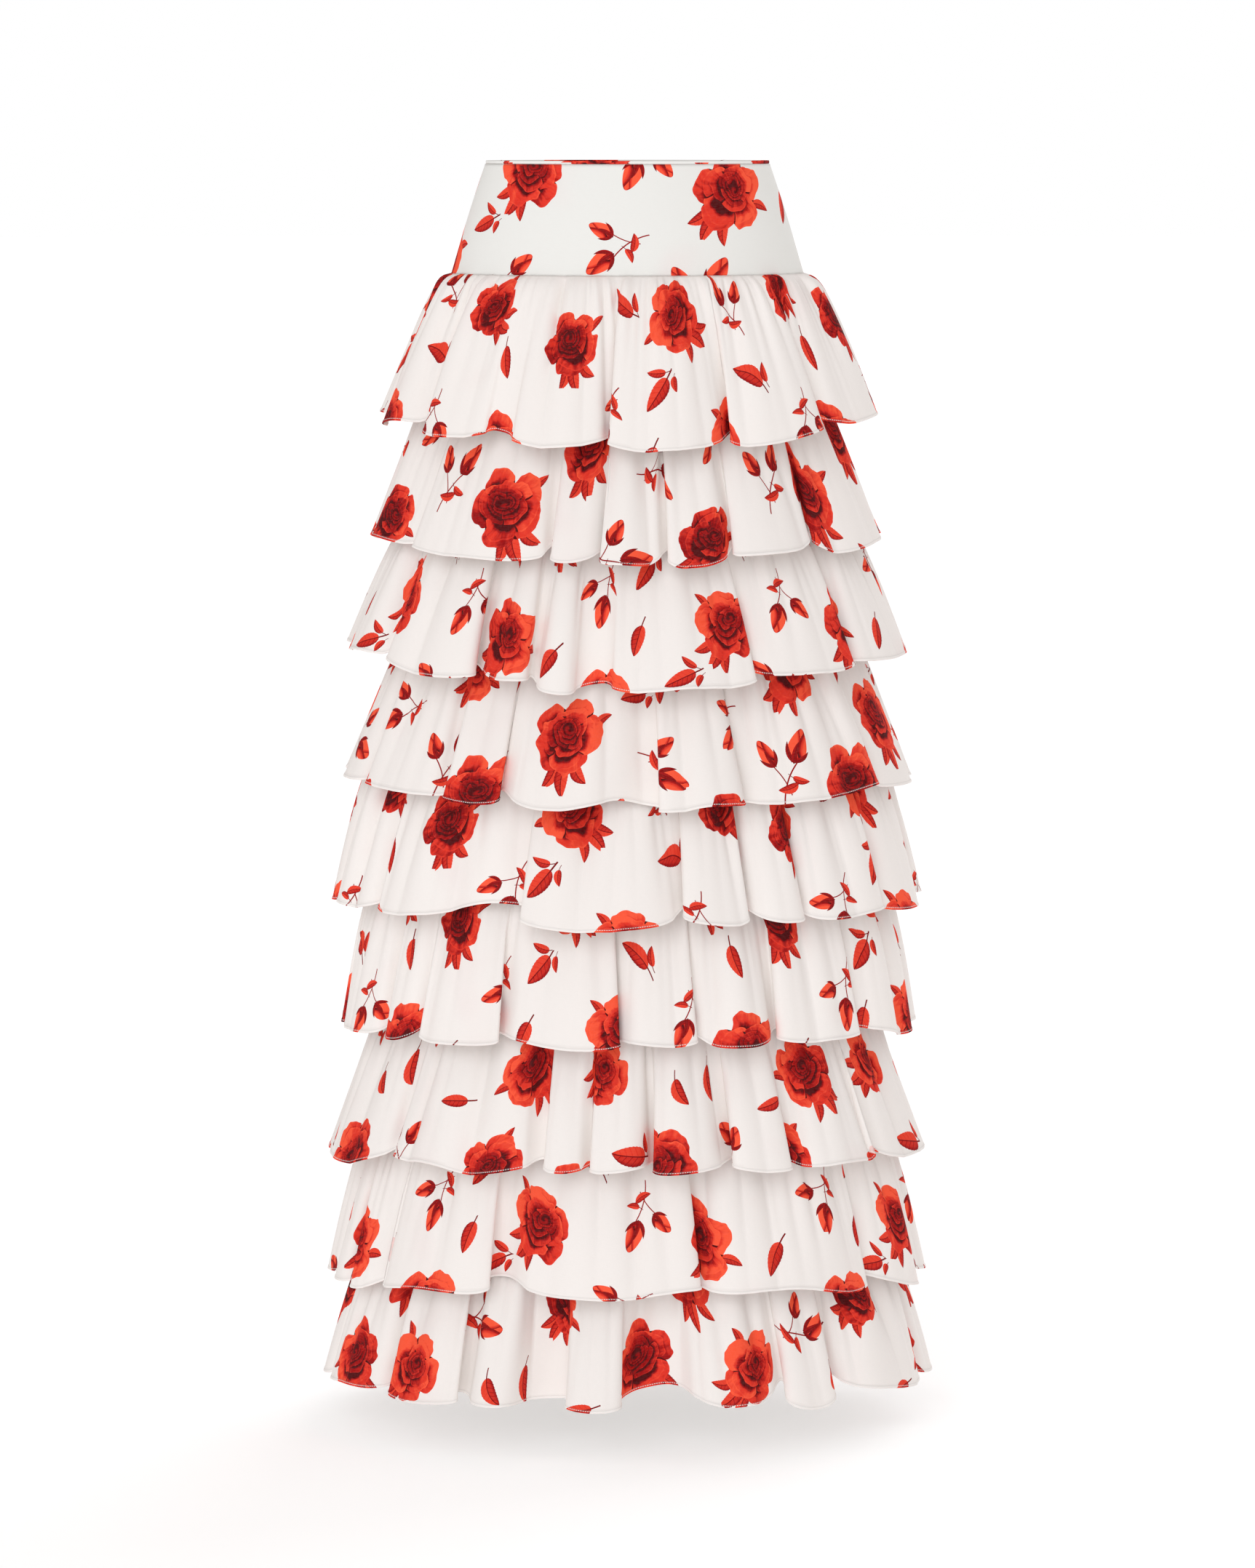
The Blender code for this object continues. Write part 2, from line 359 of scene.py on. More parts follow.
def an_angle(name, description, degrees):
    """An angle among the settings."""
    return a_number(name, description, float(np.radians(degrees)), unit="ROTATION")


def a_colour(name, description, default):
    """A colour among the settings."""
    return FloatVectorProperty(name=name, description=description, default=default, subtype="COLOR")


class SkirtCloth(bpy.types.PropertyGroup):
    """The cloth's thickness, its hem and how finely it is laid out."""

    thickness: a_length("Thickness", "How thick the cotton is", 0.0006)
    hem_thickness: a_length("Hem thickness", "How thick the rolled hem is", 0.0014)
    hem_height: a_length("Hem height", "How high the rolled hem is", 0.0024)
    column_pitch: a_length("Column pitch", "How far apart a ruffle's mesh columns are at its hem", 0.0025)
    fold_lean: a_number("Fold lean", "Share of their lean that the deep folds have", 1.0, min=0.0, max=1.2)
    gathers: a_number("Gathers", "How strong the small gathers are", 1.0, min=0.0, max=2.0)
    valley_rise: a_number("Valley rise", "How much more the hem rises in a valley for how deep it is", 0.15)
    waver: a_length("Hem waver", "How far the hem strays from an even line", 0.0052)


class SkirtPrint(bpy.types.PropertyGroup):
    """The size and colours of the rose print."""

    repeat: FloatVectorProperty(
        name="Repeat", description="Width and height of one repeat of the print",
        size=2, default=(0.470, 0.430), unit="LENGTH",
    )
    rose_radius: a_length("Rose radius", "Radius of a rose's petals", 0.0345)
    seed: IntProperty(name="Seed", description="Which scatter of motifs the repeat has", default=3, min=0)
    deep_ink: a_colour("Deep ink", "Colour in the shadows between petals", (0.085, 0.0015, 0.0030))
    dark_ink: a_colour("Dark ink", "Colour of the heart", (0.360, 0.0030, 0.0040))
    red_ink: a_colour("Red ink", "Main colour of the petals", (0.770, 0.035, 0.0185))
    bright_ink: a_colour("Bright ink", "Colour of the petals' rims", (0.985, 0.102, 0.043))
    reverse_fade: a_number(
        "Reverse fade", "How much paler the print is on the cloth's other side",
        0.72, subtype="FACTOR", min=0.0, max=1.0,
    )


class SkirtFinish(bpy.types.PropertyGroup):
    """The undyed cloths, and the thread that they are woven and sewn with."""

    ruffle_white: a_colour("Ruffle white", "Ground of the printed cotton", (0.918, 0.870, 0.838))
    yoke_white: a_colour("Yoke white", "Ground of the yoke's heavier cotton", (0.830, 0.824, 0.793))
    base_white: a_colour("Foundation white", "Colour of the plain foundation", (0.800, 0.775, 0.740))
    # Painted light: the pink of the print beneath, as if it shone through the thin cotton
    show_through_light: a_colour("Show-through light", "Tint of the print in the layer beneath", (0.860, 0.700, 0.690))
    stitch_white: a_colour("Stitch white", "Colour of the hems' sewing thread", (0.910, 0.880, 0.850))
    thread: a_length("Thread", "Distance between threads of the weave", 0.00042)


class SkirtStudio(bpy.types.PropertyGroup):
    """The camera, floor and lights."""

    camera_place: FloatVectorProperty(
        name="Camera place", description="Where the camera stands", subtype="XYZ", default=(0.0, -5.5, 0.03)
    )
    camera_tilt: an_angle("Camera tilt", "How far the camera looks down", 6.2)
    camera_lens: a_number("Lens", "Focal length in millimetres", 138.87)
    floor_drop: a_length("Floor drop", "How far under the hem the floor lies", 0.040)
    surround: a_number("Surround", "Strength of the white surround", 0.586)
    surround_tint: a_colour("Surround tint", "Colour of the surround's light", (0.940, 0.893, 0.870))
    key_tint: a_colour("Key tint", "Colour of the lights", (0.890, 0.936, 0.970))
    floor_glow: a_number("Floor glow", "Light that the pale floor gives", 0.41)
    key: a_number("Key light", "Strength of the light from the front", 1.24)
    back: a_number("Back light", "Strength of the light from behind", 1.00)
    softness: an_angle("Softness", "How wide the lights look", 50.0)


# The shape of the cloth


def body_axes(height):
    """Half width and half depth of the body line at a height."""
    table = np.array(BODY_LINE)[::-1]
    return np.interp(height, table[:, 0], table[:, 1]), np.interp(height, table[:, 0], table[:, 2])


def around(angle, half_width, half_depth, inset=0.0):
    """Points on an ellipse at angles from the front, moved in along its normal by inset."""
    turn = np.radians(angle)
    out_x, out_y = np.sin(turn) / half_width, -np.cos(turn) / half_depth
    length = np.hypot(out_x, out_y)
    x = half_width * np.sin(turn) - inset * out_x / length
    y = -half_depth * np.cos(turn) - inset * out_y / length
    return x, y


def tilted(front, side, angle):
    """A height that goes from front at the middle to side at 90 degrees."""
    return front + (side - front) * np.sin(np.radians(angle)) ** 2


def all_folds(number):
    """The folds all round one hem: those in front, then those of the back by the seeded rule."""
    front = list(FRONT_FOLDS[number - 1])
    rng = np.random.default_rng(BACK_SEED + number)
    start, end = front[-1][1], front[0][0] + 360
    count = round((end - start) / BACK_FOLD_SPAN)
    spans = rng.uniform(*BACK_SPAN_SPREAD, count)
    spans *= (end - start) / spans.sum()
    back = []
    for span in spans:
        gap = rng.uniform(*BACK_GAP)
        back.append((start + gap / 2, start + span - gap / 2, rng.uniform(*BACK_DEPTH)))
        start += span
    leans = rng.uniform(*BACK_LEAN, count) * rng.choice((-1, 1), count)
    return front + [(*fold, lean) for fold, lean in zip(back, leans)]


def wandering(share, waves, rng):
    """A smooth closed run of values from -1 to 1, with so many turning points all round."""
    heights = rng.uniform(-1.0, 1.0, waves)
    place = share * waves
    near = np.floor(place).astype(int) % waves
    blend = (1 - np.cos(np.pi * (place % 1.0))) / 2
    return heights[near] + (heights[(near + 1) % waves] - heights[near]) * blend


def valley_lift(number, angle):
    """How far a valley's hem rises for how far in it lies, which wanders round the skirt."""
    rng = np.random.default_rng(LIFT_SEED + number)
    return VALLEY_LIFT + LIFT_SWING * wandering((angle + 180) / 360 % 1.0, LIFT_TURNS, rng)


def hem_line(number):
    """One hem drawn finely: angles that rise all round, how far in each lies, and how far it leans.

    From its crest a fold turns a quarter to its edge, and from there a quarter back into the valley.
    """
    quarter = np.linspace(0, np.pi / 2, QUARTER_STEPS, endpoint=False)
    reach, bend = np.sin(quarter) ** FOLD_ROUNDING, (1 - np.cos(quarter)) / 2
    folds = all_folds(number)
    angles, insets, leans = [], [], []
    for place, (left, right, depth, lean) in enumerate(folds):
        edge_before = folds[place - 1][1] - (360 if place == 0 else 0)
        depth_before, lean_before = folds[place - 1][2:]
        edge_after = folds[(place + 1) % len(folds)][0] + (360 if place == len(folds) - 1 else 0)
        middle, half = (left + right) / 2, (right - left) / 2
        gap_before, gap_after = (left - edge_before) / 2, (edge_after - right) / 2
        turned_before = np.concatenate([1 - bend, bend[::-1]])
        turned = np.concatenate([bend, 1 - bend[::-1]])
        angles += [*(left - gap_before * (1 - reach)), *(middle - half * reach[::-1])]
        angles += [*(middle + half * reach), *(right + gap_after * (1 - reach[::-1]))]
        insets += [*(depth_before * turned_before), *(depth * turned)]
        leans += [*(lean_before * turned_before), *(lean * turned)]
    return np.array(angles), np.array(insets), np.array(leans)


def hem_columns(number, cloth):
    """Even steps of cloth along one hem, from the middle of the back round: angles, insets and length."""
    angle, inset, lean = hem_line(number)
    leaned = angle + lean * cloth.fold_lean
    width, depth = RUFFLES[number - 1][2:4]
    room = width - body_axes(RUFFLES[number - 1][0])[0]
    x, y = around(leaned, width, depth, inset * room)
    steps = np.hypot(np.diff(x, append=x[0]), np.diff(y, append=y[0]))
    run = np.concatenate([[0.0], np.cumsum(steps)])
    length, run = run[-1], run[:-1]
    run = np.concatenate([run - length, run, run + length])
    count = round(length / cloth.column_pitch)
    start = np.interp(-180.0, np.concatenate([angle - 360, angle, angle + 360]), run)
    at = start + length * np.arange(count) / count
    leaned = np.concatenate([leaned - 360, leaned, leaned + 360])
    return np.interp(at, run, leaned), np.interp(at, run, np.tile(inset, 3)), length


def seam_columns(hem_angle):
    """Where each column meets the seam: the gathers spread the hem's cloth evenly along it."""
    count = len(hem_angle)
    reach = round(SMOOTHED_SHARE * count / 2)
    tiled = np.concatenate([hem_angle[-reach:] - 360, hem_angle, hem_angle[:reach] + 360])
    return np.convolve(tiled, np.full(2 * reach + 1, 1 / (2 * reach + 1)), mode="valid")


def outward(points):
    """The unit normals of a closed grid of points, rows from hem to seam."""
    along = np.roll(points, -1, axis=1) - np.roll(points, 1, axis=1)
    up = np.gradient(points, axis=0)
    normal = np.cross(along, up)
    return normal / np.linalg.norm(normal, axis=2, keepdims=True)


def gather_heights(number, share, length, down, cloth):
    """How far the small gathers push the cloth out, for each row and column."""
    rng = np.random.default_rng(GATHER_SEED + number)
    total = np.zeros((len(down), len(share)))
    for pitch, height, run, kept in GATHERS:
        waves = round(length / pitch)
        phase = np.pi * waves * share + GATHER_SWAY * wandering(share, waves // 2, rng)
        ridge = 1.6 * np.abs(np.sin(phase)) ** FOLD_ROUNDING - 0.8
        strength = 1 - GATHER_UNEVEN + GATHER_UNEVEN * wandering(share, waves, rng)
        reach = run * (1 + GATHER_STRAY * wandering(share, waves // 2, rng))
        fade = kept + (1 - kept) * np.exp(-((down[:, None] / reach[None, :]) ** 2))
        total += height * ridge * strength * fade
    count = round(length / CREASE_SPACING)
    middles = (np.arange(count) + rng.uniform(-CREASE_STRAY, CREASE_STRAY, count)) / count * length
    for middle in middles:
        depth, width = rng.uniform(*CREASE_DEPTH), rng.uniform(*CREASE_WIDTH)
        run, drift = rng.uniform(*CREASE_RUN), rng.uniform(-CREASE_DRIFT, CREASE_DRIFT)
        away = share[None, :] * length - middle - drift * down[:, None]
        away = np.abs((away + length / 2) % length - length / 2)
        opened = width * (CREASE_OPENING + CREASE_OPENING * down[:, None])
        furrow = np.exp(-((away / opened) ** CREASE_ROUNDING))
        total -= depth * furrow * np.exp(-((down[:, None] / run) ** 3))
    return cloth.gathers * total


def ruffle_shape(number, cloth):
    """One ruffle's points, rows from hem to seam, with the last column closing the ring, and its length."""
    front_hem, side_hem, width, depth, side_shoulder = RUFFLES[number - 1]
    hem_angle, inset, length = hem_columns(number, cloth)
    seam_angle = seam_columns(hem_angle)
    share = np.arange(len(hem_angle)) / len(hem_angle)
    rng = np.random.default_rng(GATHER_SEED * 100 + number)
    fall = abs(front_hem - (YOKE_BOTTOM if number == 1 else RUFFLES[number - 2][0] + RUFFLE_LAP))
    hem_shares = np.array(HEM_ROWS) / fall
    rest = (1 - hem_shares[-1]) * np.linspace(1, 0, RUFFLE_ROWS + 1) ** ROW_CROWDING
    down = np.concatenate([1 - hem_shares[:-1], rest])[:, None]
    angle = seam_angle + (hem_angle - seam_angle) * down**FOLD_HOLD
    hem = tilted(front_hem, side_hem, angle)
    stand_off = CLOTH_WALL + SEAM_GAP + FACET_ROOM
    if number == 1:
        seam = np.full_like(angle, YOKE_BOTTOM - TUCK_GAP)
        stand_off = TUCKED_IN + (stand_off - TUCKED_IN) * (1 - np.exp(-down * fall / TUCK_HEIGHT))
    else:
        seam = tilted(*RUFFLES[number - 2][:2], angle) + RUFFLE_LAP
    shoulder = tilted(FRONT_SHOULDER, side_shoulder, angle)
    seam_width, seam_depth = body_axes(seam)
    out = down**shoulder
    sunk = inset * (width - body_axes(hem)[0]) * down**VALLEY_RUN
    half_width = seam_width + stand_off + (width - seam_width - stand_off) * out
    half_depth = seam_depth + stand_off + (depth - seam_depth - stand_off) * out
    x, y = around(angle, half_width, half_depth, sunk)
    waver = cloth.waver * wandering(share, round(length / WAVER_PITCH), rng) * down**WAVER_RUN
    lift = valley_lift(number, hem_angle) + cloth.valley_rise
    z = seam + (hem - seam) * down + lift * sunk + waver
    points = np.stack([x, y, z], axis=2)
    normal = outward(points)
    bearing = np.stack([np.sin(np.radians(angle)), -np.cos(np.radians(angle))], axis=2)
    facing = np.abs((normal[:, :, :2] * bearing).sum(axis=2))
    held = 1 - np.exp(-down * fall / SEAM_HOLD)
    push = gather_heights(number, share, length, down[:, 0], cloth) * held
    push *= SIDE_PUSH + (1 - SIDE_PUSH) * facing
    body_width, body_depth = body_axes(z)
    clear = np.minimum(half_width - body_width, half_depth - body_depth) - sunk
    points = points + normal * np.maximum(push, SEAM_ROOM - clear)[:, :, None]
    return np.concatenate([points, points[:, :1]], axis=1), length


def run_along(points, axis):
    """How far each point lies along its row, by axis 1, or up its column, by axis 0."""
    steps = np.linalg.norm(np.diff(points, axis=axis), axis=2)
    return np.cumsum(np.insert(steps, 0, 0.0, axis=axis), axis=axis)


# The print


def print_repeat(design):
    """The motifs of one repeat, each as far from the others as a seeded search finds."""
    rng = np.random.default_rng(design.seed)
    tile = np.array(design.repeat)
    motifs = []
    for kind, count, scale, reach, spread in MOTIFS:
        for _ in range(count):
            size = design.rose_radius * scale * rng.uniform(*SIZE_SPREAD)
            spots = rng.uniform(0, 1, (CANDIDATES, 2)) * tile
            room = np.full(CANDIDATES, np.inf)
            for other in motifs:
                apart = (spots - other["place"] + tile / 2) % tile - tile / 2
                room = np.minimum(room, np.hypot(*apart.T) - other["reach"])
            place = spots[np.argmax(room)]
            turn, flip = np.radians(rng.uniform(-spread, spread)), rng.choice((-1.0, 1.0))
            motifs.append({
                "kind": KINDS.index(kind), "place": place, "size": size, "reach": size * reach,
                "turn": turn, "flip": flip, "seed": rng.uniform(0, 10),
            })
    return motifs


def corner_points(mesh):
    """Which point each face corner is."""
    corner = np.empty(len(mesh.loops), np.int32)
    mesh.loops.foreach_get("vertex_index", corner)
    return corner


def cloth_places(mesh):
    """Where each face corner lies on the flat cloth, in metres."""
    uv = np.empty(len(mesh.loops) * 2, np.float32)
    mesh.uv_layers["cloth"].data.foreach_get("uv", uv)
    return uv.reshape(-1, 2)


def print_on(mesh, design, offset):
    """Give each face the motif on it, with the motif's own coordinates in a second UV map."""
    tile = np.array(design.repeat)
    motifs = print_repeat(design)
    uv = cloth_places(mesh).reshape(-1, 4, 2) + np.array(offset)
    centre = uv.mean(axis=1)
    nearest = np.full(len(centre), np.inf)
    kind = np.zeros(len(centre), np.int32)
    seed = np.zeros(len(centre), np.float32)
    local = np.zeros(uv.shape, np.float32)
    for motif in motifs:
        apart = (centre - motif["place"] + tile / 2) % tile - tile / 2
        left = np.hypot(*apart.T) - motif["reach"]
        here = (left < 0) & (left < nearest)
        nearest[here] = left[here]
        kind[here] = motif["kind"]
        seed[here] = motif["seed"]
        shift = uv[here] - centre[here][:, None] + apart[here][:, None]
        cos, sin = np.cos(motif["turn"]), np.sin(motif["turn"])
        x = (shift[..., 0] * cos + shift[..., 1] * sin) * motif["flip"]
        y = shift[..., 1] * cos - shift[..., 0] * sin
        local[here] = np.stack([x, y], axis=2) / motif["size"]
    mesh.uv_layers.new(name="motif")
    mesh.uv_layers["motif"].data.foreach_set("uv", local.ravel())
    mesh.attributes.new("motif_seed", "FLOAT", "FACE").data.foreach_set("value", seed)
    mesh.polygons.foreach_set("material_index", kind)


# Making the cloth a mesh


def cloth_sheet(name, points, uv, closed):
    """A grid laid through points, its first row at the bottom, with the cloth's own UV map in metres."""
    rows, columns = points.shape[:2]
    bpy.ops.object.select_all(action="DESELECT")
    bpy.ops.mesh.primitive_grid_add(x_subdivisions=columns - 1, y_subdivisions=rows - 1, size=1.0)
    sheet = bpy.context.active_object
    sheet.name = sheet.data.name = name
    mesh = sheet.data
    if len(mesh.vertices) != rows * columns:
        raise RuntimeError(f"{name}: the grid has {len(mesh.vertices)} points, not {rows * columns}")
    mesh.vertices.foreach_set("co", points.astype(np.float32).ravel())
    mesh.uv_layers[0].name = "cloth"
    uv = uv.reshape(-1, 2)[corner_points(mesh)]
    mesh.uv_layers["cloth"].data.foreach_set("uv", uv.astype(np.float32).ravel())
    if closed:
        bpy.ops.object.mode_set(mode="EDIT")
        bpy.ops.mesh.select_all(action="SELECT")
        bpy.ops.mesh.remove_doubles(threshold=1e-6)
        bpy.ops.object.mode_set(mode="OBJECT")
    mesh.update()
    mesh.shade_smooth()
    return sheet


def thickened(sheet, thickness, hem_thickness=None, hem_height=0.0, reverse_slots=0):
    """Give a sheet its thickness both ways, with a thicker hem where its UV map starts."""
    bpy.ops.object.select_all(action="DESELECT")
    sheet.select_set(True)
    bpy.context.view_layer.objects.active = sheet
    wall = sheet.modifiers.new("wall", "SOLIDIFY")
    wall.thickness = hem_thickness or thickness
    wall.offset = 0.0
    wall.material_offset = reverse_slots
    if hem_thickness:
        up = np.empty(len(sheet.data.vertices), np.float32)
        up[corner_points(sheet.data)] = cloth_places(sheet.data)[:, 1]
        group = sheet.vertex_groups.new(name="hem")
        group.add([int(at) for at in np.nonzero(up < hem_height)[0]], 1.0, "REPLACE")
        wall.vertex_group = "hem"
        wall.thickness_vertex_group = thickness / hem_thickness
    bpy.ops.object.modifier_apply(modifier="wall")


def panel_columns(turn, columns):
    """The angle of each column of a front or back panel, and its share of the way across."""
    reach = 90 - np.degrees(SEAM_GAP / 2 / BODY_LINE[0][2])
    return np.linspace(-reach, reach, columns + 1) + turn, np.linspace(0, 1, columns + 1)


def panel_sheet(name, x, y, height, rise=0.0):
    """A front or back panel, its UV map centred and as far up as rise."""
    points = np.stack([x, y, np.broadcast_to(height, x.shape)], axis=2)
    along = run_along(points, 1)
    uv = np.stack([along - along[:, -1:] / 2, run_along(points, 0) + rise], axis=2)
    return cloth_sheet(name, points, uv, closed=False)


def finished(piece, slot, *nodes):
    """Hand a piece to the frame."""
    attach(piece, BODY)
    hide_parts(*nodes)


# Formulas as shader nodes


def worked_out(operation):
    """An operator of Flow that adds a Math node."""
    return lambda *values: maths(operation, *values)


class Flow:
    """A number in a node tree. Sums and products of flows add the nodes that work them out."""

    def __init__(self, tree, socket):
        self.tree, self.socket = tree, socket

    def __rsub__(self, other):
        return maths("SUBTRACT", other, self, tree=self.tree)

    __add__ = __radd__ = worked_out("ADD")
    __sub__ = worked_out("SUBTRACT")
    __mul__ = __rmul__ = worked_out("MULTIPLY")
    __truediv__ = worked_out("DIVIDE")
    __pow__ = worked_out("POWER")
    __abs__ = worked_out("ABSOLUTE")
    __lt__ = worked_out("LESS_THAN")
    __gt__ = worked_out("GREATER_THAN")


def feed(tree, socket, value):
    """Link a flow to an input, or set it to a plain value."""
    if isinstance(value, Flow):
        tree.links.new(value.socket, socket)
    else:
        socket.default_value = value


def added(tree, kind, values=(), **settings):
    """Add a node with these settings, feed its first inputs, and give its outputs."""
    node = tree.nodes.new("ShaderNode" + kind)
    for name, setting in settings.items():
        setattr(node, name, setting)
    sockets = [socket for socket in node.inputs if socket.enabled]
    for socket, value in zip(sockets, values):
        feed(tree, socket, value)
    return [Flow(tree, socket) for socket in node.outputs if socket.enabled]


def maths(operation, *values, tree=None):
    """A Math node."""
    return added(tree or values[0].tree, "Math", values, operation=operation)[0]


def stepped(value, low, high, start=0.0, end=1.0):
    """A smooth step from start to end as a value goes from low to high."""
    values = (value, low, high, start, end)
    return added(value.tree, "MapRange", values, interpolation_type="SMOOTHSTEP")[0]


def chosen(share, without, within, kind="FLOAT"):
    """The first value where share is 0, and the second where it is 1."""
    return added(share.tree, "Mix", (share, without, within), data_type=kind)[0]


def colour_mix(share, without, within):
    """As chosen, for colours."""
    return chosen(share, without, within, "RGBA")


def split(vector):
    """The x and y of a vector."""
    return added(vector.tree, "SeparateXYZ", (vector,))[:2]


def joined(x, y):
    """A vector on the plane."""
    return added(x.tree, "CombineXYZ", (x, y))[0]


def noise(vector, seed, scale, detail=0.0, roughness=0.5):
    """A Noise Texture node's value."""
    values = (vector, seed, scale, detail, roughness)
    return added(vector.tree, "TexNoise", values, noise_dimensions="4D")[0]


def surface_map(tree, name):
    """A UV map of the piece."""
    return added(tree, "UVMap", uv_map=name)[0]


def node_group(name, inputs, outputs, formula):
    """A shader group that works out its outputs from its inputs by a formula, built only once."""
    if name in bpy.data.node_groups:
        return bpy.data.node_groups[name]
    group = bpy.data.node_groups.new(name, "ShaderNodeTree")
    for sockets, way in ((inputs, "INPUT"), (outputs, "OUTPUT")):
        for title, kind in sockets.items():
            group.interface.new_socket(title, in_out=way, socket_type="NodeSocket" + kind)
    given = group.nodes.new("NodeGroupInput")
    result = group.nodes.new("NodeGroupOutput")
    values = formula(*[Flow(group, given.outputs[title]) for title in inputs])
    for title, value in zip(outputs, values):
        feed(group, result.inputs[title], value)
    return group


def placed(tree, group, *values):
    """Place a group in a tree with these inputs, and give its outputs."""
    return added(tree, "Group", values, node_tree=group)


def moved(x, y, at_x, at_y, turn, size):
    """Coordinates in a shape's own frame, given where the shape lies."""
    cos, sin = float(np.cos(np.radians(turn))) / size, float(np.sin(np.radians(turn))) / size
    x, y = x - at_x, y - at_y
    return x * cos + y * sin, y * cos - x * sin


def laid_over(below, above):
    """A mask and tone with another on top."""
    return maths("MAXIMUM", below[0], above[0]), chosen(above[0], below[1], above[1])


# The motifs


def leaf_formula(place, bend, width):
    """A pointed leaf from -1 to 1 along x, with a middle rib, side veins and a short stalk."""
    x, y = split(place)
    inside = maths("MINIMUM", maths("MAXIMUM", x, -1.0), 1.0)
    y = y - bend * (1.0 - x * x)
    teeth = 1.0 + TOOTH_DEPTH * maths("FRACT", inside * LEAF_TEETH + 10.0)
    half = width * (1.0 - inside) ** 0.8 * (1.0 + inside) ** 0.5 * teeth
    blade = (abs(y) < half) * (abs(x) < 1.0)
    stalk = (abs(y) < STALK_WIDTH) * (x < -0.95) * (x > -1.0 - STALK_LENGTH)
    side = y / maths("MAXIMUM", half, 0.001)
    tone = 0.50 + stepped(side, -0.1, 0.1, 0.0, 0.26) - stepped(side * -1.0, 0.5, 1.1, 0.0, 0.25)
    veins = abs(maths("FRACT", inside * LEAF_VEINS - abs(y) * VEIN_SLANT + 10.0) - 0.5)
    tone = tone - VEIN_SHADE * stepped(veins, 0.02, 0.12, 1.0, 0.0)
    tone = chosen(maths("MAXIMUM", abs(y) < RIB_WIDTH, stalk), tone, RIB_TONE)
    return maths("MAXIMUM", blade, stalk), tone


def leaf(x, y, bend, width):
    """Place a leaf."""
    inputs = {"Place": "Vector", "Bend": "Float", "Width": "Float"}
    group = node_group("leaf shape", inputs, MASK_AND_TONE, leaf_formula)
    return placed(x.tree, group, joined(x, y), bend, width)


def leaves(below, x, y, rows):
    """Lay a table of leaves over a motif."""
    for at_x, at_y, turn, size, width, bend in rows:
        below = laid_over(below, leaf(*moved(x, y, at_x, at_y, turn, size), bend, width))
    return below


def petal_ring(x, y, seed, brush, radius, petals, turn, at_x, at_y, scallop, stretch, brightness, shade):
    """One ring of overlapping petals: dark where each comes out from under the next, bright at its rim."""
    x, y = x - at_x, (y - at_y) / stretch
    far = maths("SQRT", x * x + y * y)
    angle = maths("ARCTAN2", y, x) / float(2 * np.pi)
    across = maths("FRACT", angle * petals + (turn + 20.0) + seed * (0.37 / radius))
    rim = radius * (1.0 - scallop * abs(across * 2.0 - 1.0) ** 3.0)
    share = far / rim
    tone = PETAL_SHADOW + stepped(share, *PETAL_FADE, 0.0, PETAL_LIGHT) - shade * (across * across)
    strokes = (brush - 0.5) * (0.30 + 0.60 * brightness)
    tone = tone * brightness + strokes + RIM_LIGHT * (share > RIM_START)
    return share < 1.0, chosen(across < SPLIT_WIDTH, tone, SPLIT_TONE)


def rose_formula(place, seed):
    """A full-blown rose: rings of petals round an off-centre heart, darker on one side."""
    x, y = split(place)
    shade = (maths("FRACT", seed * 3.7) - 0.62) * ROSE_SPREAD + ROSE_SIDE * (x + y)
    swell = (noise(place, seed, 1.5, 2.0, 0.50) - 0.5) * ROSE_SWELL
    sway = (noise(place, seed + 5.0, 1.5, 2.0, 0.50) - 0.5) * ROSE_SWELL
    x, y = x + swell, y + sway
    heart_x, heart_y, heart_radius, heart_stretch = HEART
    far = maths("SQRT", x * x + (y - heart_y) * (y - heart_y))
    strokes = joined(maths("ARCTAN2", y - heart_y, x) * 5.5 + far * 2.0, far * 2.4)
    brush = noise(strokes, seed, 1.0, 2.0, 0.6) + shade
    motif = (x * 0.0, x * 0.0)
    for ring in PETAL_RINGS:
        motif = laid_over(motif, petal_ring(x, y, seed, brush, *ring))
    x, y = x - heart_x, (y - heart_y) / heart_stretch
    far = maths("SQRT", x * x + y * y)
    swirl = 0.17 + 0.14 * maths("SINE", maths("ARCTAN2", y, x) - far * 30.0)
    return laid_over(motif, (far < heart_radius, swirl))


def rose_motif(place, seed):
    """A rose with the leaves that show from under it."""
    x, y = split(place)
    group = node_group("rose head", MOTIF_SOCKETS, MASK_AND_TONE, rose_formula)
    below = leaves((x * 0.0, x * 0.0), x, y, ROSE_LEAVES)
    return laid_over(below, placed(x.tree, group, place, seed))


def bud_formula(place):
    """A rosebud pointing along x, of three wrapped petals held by long sepals."""
    x, y = split(place)
    inside = maths("MINIMUM", maths("MAXIMUM", x, -1.0), 1.0)
    half = 0.56 * maths("SQRT", 1.0 - inside * inside) * (1.0 - 0.30 * inside)
    side = abs(y) / maths("MAXIMUM", half, 0.001)
    near_fold = y - (0.30 * (inside + 0.2) * (inside + 0.2) - 0.12)
    far_fold = -1.0 * (y + (0.34 * (inside - 0.1) * (inside - 0.1) - 0.02))
    tone = 0.88 - stepped(side, 0.3, 1.0, 0.0, 0.55)
    tone = chosen(near_fold > 0.0, tone, stepped(near_fold, 0.0, 0.34, 0.35, 1.25))
    tone = chosen(far_fold > 0.0, tone, stepped(far_fold, 0.0, 0.40, 0.22, 0.92))
    tone = tone - stepped(-1.0 * inside, 0.25, 0.90, 0.0, 0.5)
    motif = ((abs(y) < half) * (abs(x) < 1.0), tone)
    for at_x, at_y, turn, size, width, bend in SEPALS:
        near_x, near_y = moved(x, y, at_x, at_y, turn, size)
        mask, sepal_tone = leaf(near_x, near_y, bend, width)
        motif = laid_over(motif, (mask * (near_x > -1.05), 0.10 + 0.30 * sepal_tone))
    return motif


